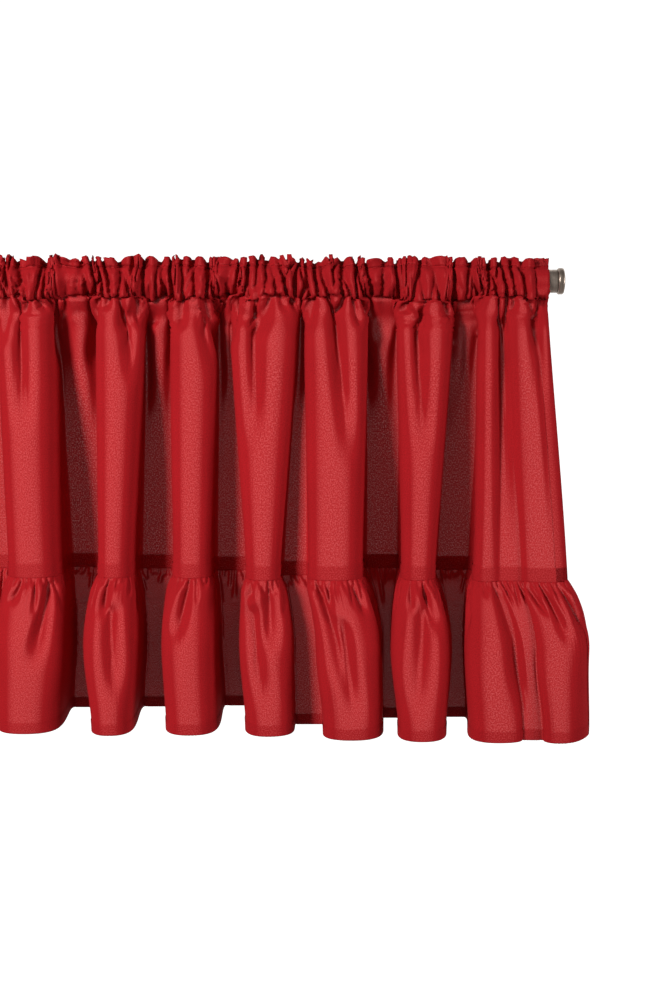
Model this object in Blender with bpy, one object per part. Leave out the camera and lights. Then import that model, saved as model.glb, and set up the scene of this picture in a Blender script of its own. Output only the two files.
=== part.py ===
"""A gathered window valance with a sewn-on ruffle, hanging from its curtain rod.

Units are metres, +Z is up, +X runs along the rod, and the room side faces -Y.
The origin is on the rod's axis, halfway along it.

The cloth is lofted through plan curves. Each curve is a cubic B-spline whose six
control points a fold are worked out from one row of the table FOLDS:
    0  foot of the fold's left flank      3  right shoulder of its front
    1  left shoulder of its front         4  foot of its right flank
    2  middle of its front                5  middle of the valley that follows
Where the cloth is drawn up on the rod, points 1, 3 and 5 become small gathers and
points 0, 2 and 4 the creases between them.
"""

import math
from collections import namedtuple

import bmesh
import bpy
from mathutils import Vector

MM = 0.001

# Rod and end caps
ROD_RADIUS = 9.5 * MM
ROD_WALL = 1.0 * MM
ROD_HALF_LENGTH = 466.0 * MM
ROD_SIDES = 24
TOUCH_GAP = 0.3 * MM
CAP_RING_RADIUS = 10.8 * MM
CAP_RING_LENGTH = 5.2 * MM
CAP_EDGE = 1.4 * MM
CAP_FLAT_RADIUS = 7.0 * MM
CAP_DOME = 0.8 * MM
CAP_PLUG_LENGTH = 14.0 * MM
CAP_PLUG_TAPER = 1.0 * MM

# Cloth
CLOTH_THICKNESS = 1.2 * MM
HEADER_TOP_Z = 17.2 * MM
UPPER_STITCH_Z = 12.2 * MM
LOWER_STITCH_Z = -14.0 * MM
TOP_STATION_Z = -36.0 * MM
SEAM_Z = -241.7 * MM
BELLY_Z = -300.0 * MM
FRONT_HEM_Z = -371.0 * MM
VALLEY_HEM_LIFT = 4.5 * MM
GATHERS_END_Z = -88.0 * MM
GROOVES_END_Z = -200.0 * MM

# How far the cloth reaches towards the room from the rod's axis
TOP_FRONT_REACH = 13.0 * MM
TOP_VALLEY_REACH = -3.0 * MM
STITCH_REACH = 0.5 * MM
GATHER_DEPTH = 6.0 * MM
BACK_SWELL = 0.6
HEADER_FLARE = 1.25
HEADER_FRILL = 5.0 * MM
BELLY_SWELL = 3.0 * MM
FRONT_CROWN = 3.0 * MM
END_SEAM_REACH = 34.0 * MM
END_HEM_REACH = 2.0 * MM
PUCKER_DEPTH = 1.5 * MM
HEM_LIFT_FROM = 40.0 * MM
HEM_LIFT_OVER = 60.0 * MM

# Mesh density
CLOTH_STEPS = 2
POCKET_FACETS = 8
BODY_ROWS = (0.0, 0.31, 0.58, 0.75, 0.89)
RUFFLE_ROWS = (0.0, 0.13, 0.38, 0.68, 1.0)

# One row for each fold, left to right, in millimetres. The edges are the X of the fold's flanks
# at the top station, the seam, the ruffle's belly and the hem. A front reach is how far the fold
# stands towards the room, and a valley reach the same for the valley on its right. The groove
# parts the fold's front near the top, and the tuck is the small gather in that valley.
Fold = namedtuple(
    "Fold",
    "top_left top_right seam_left seam_right belly_left belly_right hem_left hem_right "
    "seam_front hem_front seam_valley hem_valley groove tuck",
)
FOLDS = (
    Fold(-457, -412, -473, -421, -487, -416, -494, -425, 46, 62, 2, -8, 7, 6),
    Fold(-398, -352, -394, -350, -399, -342, -396, -349, 40, 55, -8, -18, 5, 8),
    Fold(-331, -287, -328, -291, -335, -281, -328, -287, 34, 50, -12, -28, 8, 5),
    Fold(-268, -217, -264, -216, -270, -210, -265, -215, 39, 48, -3, -15, 6, 7),
    Fold(-200, -159, -198, -161, -205, -152, -197, -157, 30, 44, -12, -27, 4, 4),
    Fold(-137, -94, -134, -91, -143, -86, -139, -93, 33, 43, -10, -23, 7, 8),
    Fold(-72, -27, -67, -28, -74, -21, -69, -28, 28, 40, -12, -26, 5, 6),
    Fold(5, 44, 5, 57, -3, 56, -7, 47, 26, 34, -13, -25, 8, 7),
    Fold(84, 123, 79, 117, 69, 121, 70, 111, 28, 45, -12, -27, 9, 5),
    Fold(141, 180, 142, 182, 131, 184, 135, 182, 28, 41, 0, -30, 7, 4),
    Fold(194, 247, 204, 237, 196, 244, 201, 249, 45, 45, 24, 21, 8, 3),
    Fold(258, 307, 256, 308, 262, 322, 269, 324, 45, 58, -7, 3, 8, 6),
    Fold(332, 377, 331, 366, 328, 377, 333, 372, 45, 62, -5, 0, 9, 7),
    Fold(396, 413, 387, 418, 385, 414, 388, 424, 46, 64, 43, 60, 0, 0),
    Fold(424, 457, 428, 473, 426, 487, 434, 494, 51, 66, 34, 2, 5, 0),
)
POINTS_A_FOLD = 6
GATHER_POINTS = (1, 3, 5)

# Finishes: colour, roughness, metallic
COTTON = ((0.48, 0.028, 0.034, 1.0), 0.85, 0.0)
METAL = ((0.20, 0.17, 0.15, 1.0), 0.38, 0.9)


def mix(a, b, share):
    return a + (b - a) * share


def ease(share):
    share = max(0.0, min(1.0, share))
    return share * share * (3.0 - 2.0 * share)


def uneven(index, stream):
    """A fixed uneven number from 0 to 1 for this index, so that no two gathers match."""
    return math.modf(abs(math.sin(index * 12.9898 + stream * 78.233)) * 4375.85453)[0]


def clear_scene():
    for thing in list(bpy.data.objects):
        bpy.data.objects.remove(thing, do_unlink=True)


# Plan curves


def gathered_share(z):
    """1 at the stitched pocket, 0 where the small gathers have died out into the folds."""
    return 1.0 - ease((LOWER_STITCH_Z - z) / (LOWER_STITCH_Z - GATHERS_END_Z))


def between_stations(row, edge, z):
    """The fold's edge, as X in metres, at height z."""
    top, seam, belly, hem = (
        getattr(row, f"{place}_{edge}") * MM for place in ("top", "seam", "belly", "hem")
    )
    if z >= SEAM_Z:
        return mix(top, seam, max(0.0, (TOP_STATION_Z - z) / (TOP_STATION_Z - SEAM_Z)))
    if z >= BELLY_Z:
        return mix(seam, belly, math.sin(0.5 * math.pi * (SEAM_Z - z) / (SEAM_Z - BELLY_Z)))
    return mix(belly, hem, ease((BELLY_Z - z) / (BELLY_Z - FRONT_HEM_Z)))


def reach(top, seam, hem, z):
    """How far the cloth stands towards the room at height z."""
    if z >= SEAM_Z:
        return mix(top, seam, ease(0.12 + 0.88 * (LOWER_STITCH_Z - z) / (LOWER_STITCH_Z - SEAM_Z)))
    fallen = (SEAM_Z - z) / (SEAM_Z - FRONT_HEM_Z)
    return mix(seam, hem, math.sin(0.5 * math.pi * fallen)) + BELLY_SWELL * math.sin(math.pi * fallen)


def rod_places():
    """X of each control point where the cloth is drawn up on the rod, spread over each fold's share."""
    found = []
    start = FOLDS[0].top_left * MM
    for number, row in enumerate(FOLDS):
        is_first, is_last = number == 0, number + 1 == len(FOLDS)
        end = row.top_right * MM
        if not is_last:
            end = 0.5 * (end + FOLDS[number + 1].top_left * MM)
        parts = POINTS_A_FOLD - 1 if is_first or is_last else POINTS_A_FOLD
        for point in range(POINTS_A_FOLD - 1 if is_last else POINTS_A_FOLD):
            found.append(mix(start, end, (point + (0 if is_first else 1)) / parts))
        start = end
    return found


def gather_swells():
    """How far each control point swells at the rod: gathers outwards, and creases inwards far
    enough for the smooth curve through them to come back to the rod."""
    count = len(FOLDS) * POINTS_A_FOLD - 1
    swells = [0.0] * count
    for index in range(count):
        if index % POINTS_A_FOLD in GATHER_POINTS:
            swells[index] = 2.0 * GATHER_DEPTH * (0.6 + 0.7 * uneven(index, 1))
    for index in range(1, count - 1):
        if index % POINTS_A_FOLD not in GATHER_POINTS:
            swells[index] = -0.25 * (swells[index - 1] + swells[index + 1])
    return swells


def hanging_points(z):
    """Control points (x, y) of the folds as they hang free at height z."""
    found = []
    valley = reach(STITCH_REACH, END_SEAM_REACH, END_HEM_REACH, z)
    groove_share = 1.0 - ease((LOWER_STITCH_Z - z) / (LOWER_STITCH_Z - GROOVES_END_Z))
    for number, row in enumerate(FOLDS):
        left, right = between_stations(row, "left", z), between_stations(row, "right", z)
        front = reach(TOP_FRONT_REACH, row.seam_front * MM, row.hem_front * MM, z)
        middle = front + FRONT_CROWN - row.groove * MM * groove_share
        found += [(left, -valley), (left, -front), (0.5 * (left + right), -middle), (right, -front)]
        is_last = number + 1 == len(FOLDS)
        top_valley = STITCH_REACH if is_last else TOP_VALLEY_REACH
        valley = reach(top_valley, row.seam_valley * MM, row.hem_valley * MM, z)
        found.append((right, -valley))
        if not is_last:
            next_left = between_stations(FOLDS[number + 1], "left", z)
            tuck = row.tuck * MM * groove_share
            found.append((0.5 * (right + next_left), -valley - tuck))
    return found


def body_points(z):
    """Control points of the cloth below the pocket: gathers that turn into hanging folds."""
    share = gathered_share(z)
    points = []
    for x_top, swell, (x, y) in zip(rod_places(), gather_swells(), hanging_points(z)):
        y_top = 0.5 * GATHER_DEPTH - STITCH_REACH - swell
        points.append((mix(x, x_top, share), mix(y, y_top, share), z))
    return points


def spline(controls, steps):
    """Points on a uniform cubic B-spline that starts and ends at its first and last control."""
    controls = [Vector(c) for c in controls]
    before, after = 2 * controls[0] - controls[1], 2 * controls[-1] - controls[-2]
    padded = [before, *controls, after]
    found = []
    for index in range(len(controls) - 1):
        a, b, c, d = padded[index : index + 4]
        last = index == len(controls) - 2
        for step in range(steps + (1 if last else 0)):
            t = step / steps
            found.append(
                (
                    a * (1 - t) ** 3
                    + b * (3 * t**3 - 6 * t**2 + 4)
                    + c * (-3 * t**3 + 3 * t**2 + 3 * t + 1)
                    + d * t**3
                )
                / 6
            )
    return found


def offset(points, distance):
    """The points moved sideways in plan, to the room side where distance is positive."""
    moved = []
    for index, point in enumerate(points):
        along = points[min(index + 1, len(points) - 1)] - points[max(index - 1, 0)]
        side = Vector((along.y, -along.x, 0.0)).normalized()
        moved.append(point + side * distance)
    return moved


# Cloth solids


def pocket_rows(steps, wall):
    """Rows round the rod, from under it up the room side and down the back, just clear of it,
    set out by the wall and by the swell of the gathers."""
    radius = (ROD_RADIUS + TOUCH_GAP) / math.cos(math.pi / POCKET_FACETS) + wall
    rows = []
    for facet in range(POCKET_FACETS):
        angle = 2 * math.pi * facet / POCKET_FACETS
        to_room, up = math.sin(angle), -math.cos(angle)
        points = []
        for x, swell in zip(rod_places(), gather_swells()):
            if to_room < 0:
                swell *= BACK_SWELL
            points.append((x, -(radius + swell) * to_room, radius * up))
        rows.append(spline(points, steps))
    return rows


def header_points(z, flare, frill):
    """Control points of a row above the rod. The frill lifts and lowers the top edge."""
    points = []
    for index, (x, swell) in enumerate(zip(rod_places(), gather_swells())):
        points.append((x, (0.5 * GATHER_DEPTH - swell) * flare, z + frill * (uneven(index, 2) - 0.5)))
    return points


def skin(mesh, rows, closed):
    """Faces between each row and the next, and between the last and the first if closed."""
    pairs = list(zip(rows, rows[1:]))
    if closed:
        pairs.append((rows[-1], rows[0]))
    for low, high in pairs:
        for k in range(len(low) - 1):
            mesh.faces.new((low[k], low[k + 1], high[k + 1], high[k]))


def skin_cloth(mesh, front, back):
    """Faces of both sides of the cloth, row by row. Each twisted quad is cut along the same
    diagonal on both sides, the shorter one, so that the two sides never pass through each other."""
    for row in range(len(front) - 1):
        for k in range(len(front[0]) - 1):
            a, b, c, d = ((row, k), (row, k + 1), (row + 1, k + 1), (row + 1, k))

            def apart(start, end):
                return sum((side[start[0]][start[1]].co - side[end[0]][end[1]].co).length for side in (front, back))

            cuts = ((a, b, c), (a, c, d)) if apart(a, c) <= apart(b, d) else ((a, b, d), (b, c, d))
            for cut in cuts:
                mesh.faces.new([front[r][c] for r, c in cut])
                mesh.faces.new([back[r][c] for r, c in reversed(cut)])
    for edge in (0, -1):
        for k in range(len(front[0]) - 1):
            mesh.faces.new((front[edge][k], front[edge][k + 1], back[edge][k + 1], back[edge][k]))


def finish(name, mesh, material):
    """Turns a bmesh into a named object with its material, facing outwards and smooth."""
    bmesh.ops.recalc_face_normals(mesh, faces=mesh.faces)
    data = bpy.data.meshes.new(name)
    mesh.to_mesh(data)
    mesh.free()
    data.materials.append(material)
    data.shade_smooth()
    data.set_sharp_from_angle(angle=math.radians(50.0))
    thing = bpy.data.objects.new(name, data)
    bpy.context.scene.collection.objects.link(thing)
    return thing


def build_panel(cloth):
    """The one-piece upper cloth: header, rod pocket and body down to the ruffle's seam."""
    half = CLOTH_THICKNESS / 2
    body = [spline(body_points(mix(SEAM_Z, LOWER_STITCH_Z, share)), CLOTH_STEPS) for share in BODY_ROWS]
    low_stitch = spline(body_points(LOWER_STITCH_Z), CLOTH_STEPS)
    high_stitch = spline(header_points(UPPER_STITCH_Z, 1.0, 0.0), CLOTH_STEPS)
    top = spline(header_points(HEADER_TOP_Z, HEADER_FLARE, HEADER_FRILL), CLOTH_STEPS)
    tube = pocket_rows(CLOTH_STEPS, CLOTH_THICKNESS)
    inside = pocket_rows(1, 0.0)
    hole = POCKET_FACETS // 2

    front = [offset(row, half) for row in body] + [offset(low_stitch, 2 * half)]
    front += tube[1:hole] + [offset(high_stitch, 2 * half), offset(top, 1.5 * half)]
    back = [offset(row, -half) for row in body] + [offset(low_stitch, -2 * half)]
    back += tube[:hole:-1] + [offset(high_stitch, -2 * half), offset(top, -1.5 * half)]

    mesh = bmesh.new()
    front = [[mesh.verts.new(p) for p in row] for row in front]
    back = [[mesh.verts.new(p) for p in row] for row in back]
    inside = [[mesh.verts.new(p) for p in row] for row in inside]
    skin_cloth(mesh, front, back)
    skin(mesh, inside[::-1], closed=True)

    stitch = len(body)
    for end in (0, -1):
        for k in range(stitch):
            mesh.faces.new((front[k][end], front[k + 1][end], back[k + 1][end], back[k][end]))
        mesh.faces.new((front[-2][end], front[-1][end], back[-1][end], back[-2][end]))
        back_ring = [inside[0], *inside[: hole - 1 : -1]]
        for outside, ring in ((front, inside), (back, back_ring)):
            for k in range(hole):
                low, high = outside[stitch + k][end], outside[stitch + k + 1][end]
                mesh.faces.new((low, high, ring[k + 1][end], ring[k][end]))
        mesh.faces.new((front[stitch][end], inside[0][end], back[stitch][end]))
        mesh.faces.new((front[-2][end], inside[hole][end], back[-2][end]))
    return finish("valance_panel", mesh, cloth)


def ruffle_row(z):
    """A row of the ruffle: its folds, with the small puckers that its gathering thread leaves."""
    points = spline(body_points(z), CLOTH_STEPS)
    fallen = (SEAM_Z - z) / (SEAM_Z - FRONT_HEM_Z)
    strength = PUCKER_DEPTH * min(1.0, fallen / RUFFLE_ROWS[1]) * (1.0 - 0.75 * ease(fallen))
    rippled = []
    for index, (point, pushed) in enumerate(zip(points, offset(points, strength))):
        wave = (1.0 if index % 2 else -1.0) * (0.5 + 0.5 * uneven(index, 3))
        moved = point + (pushed - point) * wave
        if fallen >= 1.0:
            moved.z += VALLEY_HEM_LIFT * ease((HEM_LIFT_FROM + point.y) / HEM_LIFT_OVER)
        rippled.append(moved)
    return rippled


def build_ruffle(cloth):
    """The gathered strip sewn under the panel."""
    half = CLOTH_THICKNESS / 2
    top = SEAM_Z - TOUCH_GAP
    rows = [ruffle_row(mix(top, FRONT_HEM_Z, share)) for share in RUFFLE_ROWS]
    mesh = bmesh.new()
    front = [[mesh.verts.new(p) for p in offset(row, half)] for row in rows]
    back = [[mesh.verts.new(p) for p in offset(row, -half)] for row in rows]
    skin_cloth(mesh, front, back)
    for end in (0, -1):
        for k in range(len(rows) - 1):
            mesh.faces.new((front[k][end], front[k + 1][end], back[k + 1][end], back[k][end]))
    return finish("ruffle", mesh, cloth)


# Rod


def turn(name, profile, closed, material):
    """A turned piece: the profile of (x, radius) points spun about the X axis."""
    mesh = bmesh.new()
    verts = [mesh.verts.new((x, radius, 0.0)) for x, radius in profile]
    edges = [mesh.edges.new(pair) for pair in zip(verts, verts[1:])]
    if closed:
        edges.append(mesh.edges.new((verts[-1], verts[0])))
    bmesh.ops.spin(
        mesh,
        geom=verts + edges,
        axis=(1.0, 0.0, 0.0),
        cent=(0.0, 0.0, 0.0),
        angle=2 * math.pi,
        steps=ROD_SIDES,
        use_merge=True,
    )
    bmesh.ops.remove_doubles(mesh, verts=mesh.verts, dist=1e-6)
    return finish(name, mesh, material)


def build_rod(metal):
    """A plain round tube, open at both ends, where the caps plug in."""
    bore = ROD_RADIUS - ROD_WALL
    profile = [(-ROD_HALF_LENGTH, ROD_RADIUS), (ROD_HALF_LENGTH, ROD_RADIUS)]
    profile += [(ROD_HALF_LENGTH, bore), (-ROD_HALF_LENGTH, bore)]
    return turn("curtain_rod", profile, True, metal)


def build_cap(name, side, metal):
    """An end cap, seen from where it meets the tube: a plug that goes in, and outside it a
    rounded ring with a low dome. The left cap is the same piece turned about."""
    plug = ROD_RADIUS - ROD_WALL - TOUCH_GAP
    inset = 0.3 * CAP_EDGE
    profile = [
        (-CAP_PLUG_LENGTH, 0.0),
        (-CAP_PLUG_LENGTH, plug - CAP_PLUG_TAPER),
        (-CAP_PLUG_LENGTH + CAP_PLUG_TAPER, plug),
        (0.0, plug),
        (0.0, CAP_RING_RADIUS - CAP_EDGE),
        (inset, CAP_RING_RADIUS - inset),
        (CAP_EDGE, CAP_RING_RADIUS),
        (CAP_RING_LENGTH - CAP_EDGE, CAP_RING_RADIUS),
        (CAP_RING_LENGTH - inset, CAP_RING_RADIUS - inset),
        (CAP_RING_LENGTH, CAP_RING_RADIUS - CAP_EDGE),
        (CAP_RING_LENGTH + CAP_DOME, CAP_FLAT_RADIUS),
        (CAP_RING_LENGTH + CAP_DOME, 0.0),
    ]
    cap = turn(name, profile, False, metal)
    cap.location.x = side * (ROD_HALF_LENGTH + TOUCH_GAP)
    cap.rotation_euler.z = 0.0 if side > 0 else math.pi
    return cap


def material(name, colour, roughness, metallic):
    made = bpy.data.materials.new(name)
    made.use_nodes = True
    shader = made.node_tree.nodes["Principled BSDF"]
    shader.inputs["Base Color"].default_value = colour
    shader.inputs["Roughness"].default_value = roughness
    shader.inputs["Metallic"].default_value = metallic
    made.diffuse_color = colour
    return made


def main():
    clear_scene()
    root = bpy.data.objects.new("valance", None)
    bpy.context.scene.collection.objects.link(root)
    pieces = (
        build_rod(material("rod_metal", *METAL)),
        build_cap("end_cap_right", 1.0, material("right_cap_metal", *METAL)),
        build_cap("end_cap_left", -1.0, material("left_cap_metal", *METAL)),
        build_panel(material("panel_cotton", *COTTON)),
        build_ruffle(material("ruffle_cotton", *COTTON)),
    )
    for piece in pieces:
        piece.parent = root


main()
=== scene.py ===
# %% [markdown]
# # A ruffled window valance on its rod
# This lesson dresses a finished set of plain solids: a gathered red valance, its ruffle,
# a slim metal rod and two end caps. The solids give the sizes and the main folds. Here the
# cloth becomes thin sheets with real hems, gathers and creases, and every surface gets its
# finish. We begin by loading the solids.

import math
from collections import namedtuple

import bmesh
import bpy
import numpy as np
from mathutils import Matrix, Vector


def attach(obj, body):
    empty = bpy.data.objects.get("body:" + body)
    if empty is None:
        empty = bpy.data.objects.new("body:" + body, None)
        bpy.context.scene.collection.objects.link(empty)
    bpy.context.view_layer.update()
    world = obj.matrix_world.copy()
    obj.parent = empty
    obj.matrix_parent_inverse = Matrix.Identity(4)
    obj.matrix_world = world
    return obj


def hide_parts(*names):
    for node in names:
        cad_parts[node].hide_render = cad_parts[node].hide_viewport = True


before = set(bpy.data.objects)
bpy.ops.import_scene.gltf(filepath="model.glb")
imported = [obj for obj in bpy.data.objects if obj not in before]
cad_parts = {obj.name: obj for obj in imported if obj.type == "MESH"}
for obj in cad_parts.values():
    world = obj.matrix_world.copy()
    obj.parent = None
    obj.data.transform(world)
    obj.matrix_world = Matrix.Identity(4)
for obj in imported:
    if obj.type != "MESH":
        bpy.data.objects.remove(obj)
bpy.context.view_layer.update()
print("solids:", sorted(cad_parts))

MM = 0.001


# %% [markdown]
# ## The camera
# The valance is wide and low. The lens stands 1.2 m in front of its right half, at about the
# height of the rod, and looks down by a few degrees. A wider lens from closer by would splay
# the folds, so a longer one is used. The standard view transform keeps white walls white.

# %% Camera
LOOKS_DOWN = 7.8


def add_object(name, data):
    """A new object, linked into the scene."""
    made = bpy.data.objects.new(name, data)
    bpy.context.scene.collection.objects.link(made)
    return made


camera_data = bpy.data.cameras.new("camera")
camera_data.lens = 52.0
camera_data.sensor_width = 36.0
camera = add_object("camera", camera_data)
camera.location = (279.2 * MM, -1200 * MM, -17 * MM)
camera.rotation_euler = (math.radians(90.0 - LOOKS_DOWN), 0.0, 0.0)
bpy.context.scene.camera = camera
bpy.context.scene.view_settings.view_transform = "Standard"
print("camera at", tuple(round(v, 3) for v in camera.location))


# %% [markdown]
# ## Shader sums as plain Python
# A material's arithmetic is easier to read as an expression than as a wall of nodes. The
# first class below wraps one output socket: adding, multiplying or subtracting two of them
# makes the Math node for us. The second holds a material, and its `node` makes every node
# from a type, its settings and what goes into its sockets.

# %% A socket that does sums
class Wire:
    """One output socket of a finish, with arithmetic that adds Math nodes."""

    def __init__(self, finish, socket):
        self.finish, self.socket = finish, socket

    def math(self, operation, *values):
        return self.finish.node("ShaderNodeMath", {"operation": operation}, dict(enumerate(values)))

    def __add__(self, other):
        return self.math("ADD", self, other)

    def __mul__(self, other):
        return self.math("MULTIPLY", self, other)

    def __sub__(self, other):
        return self.math("SUBTRACT", self, other)

    def __rsub__(self, other):
        return self.math("SUBTRACT", other, self)

    def __abs__(self):
        return self.math("ABSOLUTE", self)

    __radd__ = __add__
    __rmul__ = __mul__

    def step(self, low, high):
        """0 below low, 1 above high and a soft step between them."""
        return self.finish.node(
            "ShaderNodeMapRange",
            {"interpolation_type": "SMOOTHSTEP"},
            {"Value": self, "From Min": low, "From Max": high},
        )


print("sockets can now be added, subtracted, multiplied and made positive")


# %% A material and its nodes
class Finish:
    """A material with an empty tree, and the one way in which nodes are added to it."""

    def __init__(self, name):
        self.material = bpy.data.materials.new(name)
        self.material.use_nodes = True
        self.tree = self.material.node_tree
        self.tree.nodes.clear()

    def node(self, kind, settings, sockets, output=0):
        """Adds a node: its settings come first, then each socket's value or link."""
        made = self.tree.nodes.new(kind)
        for name, value in settings.items():
            setattr(made, name, value)
        for name, value in sockets.items():
            if isinstance(value, Wire):
                self.tree.links.new(value.socket, made.inputs[name])
            else:
                made.inputs[name].default_value = value
        return Wire(self, made.outputs[output]) if made.outputs else None

    def blend_colours(self, share, low, high):
        """Colour low where share is 0, colour high where it is 1."""
        return self.node("ShaderNodeMix", {"data_type": "RGBA"}, {0: share, 6: low, 7: high}, 2)

    def blend_shaders(self, share, first, second):
        return self.node("ShaderNodeMixShader", {}, {0: share, 1: first, 2: second})

    def made_of(self, surface):
        """Links the surface to the material's output, and returns the material."""
        self.node("ShaderNodeOutputMaterial", {}, {"Surface": surface})
        print("finish", self.material.name, "has", len(self.tree.nodes), "nodes")
        return self.material


# %% [markdown]
# ## Small tools for shapes
# Everything below is worked out in millimetres on whole arrays: a row of the cloth is one
# line of a NumPy table. `ease` is a soft step, `ramp` is the same step with its start and
# length given in the value's own units, and `uneven` is a fixed, repeatable spread of
# numbers, because real gathers are never alike.

# %% Shape tools
def ease(share):
    share = np.clip(share, 0.0, 1.0)
    return share * share * (3.0 - 2.0 * share)


def ramp(value, start, over):
    """0 up to start, 1 from start + over on, and a soft step between them."""
    return ease((value - start) / over)


def mix(a, b, share):
    return a + (b - a) * share


def uneven(seed, count):
    """The same run of uneven numbers from 0 to 1 each time."""
    return np.random.default_rng(seed).random(count)


print("a ramp from 10 to 14:", [round(float(ramp(v, 10, 4)), 2) for v in range(9, 16)])


# %% Curves in plan
def spline_rows(controls, u):
    """Cubic B-spline along rows of control points: controls (rows, points), u in points."""
    first = 2 * controls[:, :1] - controls[:, 1:2]
    last = 2 * controls[:, -1:] - controls[:, -2:-1]
    padded = np.concatenate([first, controls, last], axis=1)
    cell = np.clip(np.floor(u).astype(int), 0, controls.shape[1] - 2)
    t = u - cell
    weights = ((1 - t) ** 3, 3 * t**3 - 6 * t**2 + 4, -3 * t**3 + 3 * t**2 + 3 * t + 1, t**3)
    return sum(w * padded[:, cell + k] for k, w in enumerate(weights)) / 6


def run_length(x, y):
    """Distance along a plan curve from its first point."""
    steps = np.hypot(np.diff(x), np.diff(y))
    return np.concatenate([[0.0], np.cumsum(steps)])


# %% [markdown]
# ## The folds
# A gathered valance hangs in uneven folds. A sine wave would look machine-made, so each fold
# has a row of its own below, in millimetres: where its two edges lie at the top, at the
# ruffle's seam, at the ruffle's belly and at the hem, how far its front stands into the room,
# and how deep the valley on its right is. Near the top a tuck of spare cloth fills the valley.

# %% Table of folds
Fold = namedtuple(
    "Fold",
    "top_left top_right seam_left seam_right belly_left belly_right hem_left hem_right "
    "seam_front hem_front seam_valley hem_valley tuck tuck_at",
)
FOLDS = (
    Fold(-457, -412, -473, -421, -487, -416, -494, -425, 46, 62, 2, -8, 18, 0.5),
    Fold(-398, -352, -394, -350, -399, -342, -396, -349, 40, 55, -8, -18, 20, 0.6),
    Fold(-331, -287, -328, -291, -335, -281, -328, -287, 34, 50, -12, -28, 4, 0.4),
    Fold(-268, -217, -264, -216, -270, -210, -265, -215, 39, 48, -3, -15, 16, 0.5),
    Fold(-200, -159, -198, -161, -205, -152, -197, -157, 30, 44, -12, -27, 2, 0.5),
    Fold(-137, -94, -134, -91, -143, -86, -139, -93, 33, 43, -10, -23, 19, 0.4),
    Fold(-72, -27, -67, -28, -74, -21, -69, -28, 28, 40, -12, -26, 14, 0.4),
    Fold(5, 50, 5, 57, -3, 59, -5, 53, 34, 40, -19, -25, 16, 0.74),
    Fold(86, 124, 80, 117, 70, 119, 76, 114, 34, 45, -12, -27, 14, 0.55),
    Fold(147, 184, 142, 182, 135, 183, 137, 185, 35, 44, -2, -30, 4, 0.5),
    Fold(195, 249, 204, 238, 200, 246, 204, 247, 45, 47, 20, 16, 0, 0.5),
    Fold(258, 307, 256, 308, 264, 321, 269, 322, 45, 58, -14, 2, 15, 0.58),
    Fold(332, 377, 331, 367, 325, 378, 331, 374, 45, 62, -5, 0, 18, 0.54),
    Fold(400, 413, 390, 414, 386, 428, 389, 433, 49, 64, 47, 57, 0, 0.5),
    Fold(424, 456, 434, 471, 446, 488, 452, 492, 51, 66, 44, 30, 0, 0.5),
)
folds = Fold(*np.array(FOLDS, float).T)
POINTS_A_FOLD = 8
VALLEY_POINTS = 3
MID_VALLEY = 6
POINTS = POINTS_A_FOLD * len(FOLDS) - VALLEY_POINTS
print(len(FOLDS), "folds,", POINTS, "control points across")

# %% Heights of the valance
# The rod's axis is at height 0. The folds' top edges are given at TOP_STATION.
ROD_RADIUS = 9.5
HEADER_TOP = 18.4
UPPER_STITCH = 10.8
LOWER_STITCH = -14.0
TOP_STATION = -36.0
SEAM = -241.7
BELLY = -300.0
HEM = -371.0
print("pocket", round(UPPER_STITCH - LOWER_STITCH, 1), "mm high, ruffle", round(SEAM - HEM, 1))


# %% [markdown]
# ## Plan curves
# Seen from above, each level of the cloth is one winding line. It could be drawn by hand as a
# curve object for every level, but a table of points is easier to change. We place eight
# control points a fold: the foot of its left flank, the two shoulders and middle of its
# front, the foot of its right flank, and three across the floor of the valley. A B-spline
# along them gives the soft, round turns that hanging cotton makes. Higher up, the points
# slide towards their places on the rod, where the cloth is drawn up.

# %% Edges and reaches of the folds
TOP_REACH = 0.12
SWELL = 3.0


def station(edge, z):
    """X of every fold's left or right edge at heights z: an array (heights, folds)."""
    top, seam, belly, hem = (
        getattr(folds, f"{place}_{edge}")[None] for place in ("top", "seam", "belly", "hem")
    )
    z = z[:, None]
    upper = mix(top, seam, np.maximum(0.0, (TOP_STATION - z) / (TOP_STATION - SEAM)))
    swelling = np.sin(0.5 * np.pi * np.clip((SEAM - z) / (SEAM - BELLY), 0, 1))
    lower = mix(mix(seam, belly, swelling), hem, ramp(BELLY - z, 0, BELLY - HEM))
    return np.where(z >= SEAM, upper, lower)


def reach(top, seam, hem, z):
    """How far the cloth stands into the room at heights z, from its three given reaches."""
    z = z[:, None]
    hung = (1 - TOP_REACH) * (LOWER_STITCH - z) / (LOWER_STITCH - SEAM)
    upper = mix(top, seam, ease(TOP_REACH + hung))
    fallen = np.clip((SEAM - z) / (SEAM - HEM), 0, 1)
    lower = mix(seam, hem, np.sin(0.5 * np.pi * fallen)) + SWELL * np.sin(np.pi * fallen)
    return np.where(z >= SEAM, upper, lower)


print("first fold's left edge at the seam:", station("left", np.array([SEAM]))[0, 0])

# %% Control points of the hanging folds
# The flanks of a fold are undercut, and its front falls away to both sides of a crown. A
# fold that is DEEP_FOLD deep does so in full, and a shallower one does so in its measure.
LEFT_UNDERCUT, RIGHT_UNDERCUT = 12.0, 5.0
LEFT_FALL, RIGHT_FALL, END_FALL = 4.0, 6.5, 20.0
DEEP_FOLD = 45.0
FRONT_CROWN, CROWN_AT = 3.0, 0.55
FLOOR_START, FLOOR_END = 0.16, 0.96
TOP_FRONT, TOP_VALLEY = 16.0, -12.0
TUCK_HEIGHT = 150.0
LEFT_SIDE_REACH = (0.5, 34.0, 2.0)


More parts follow.
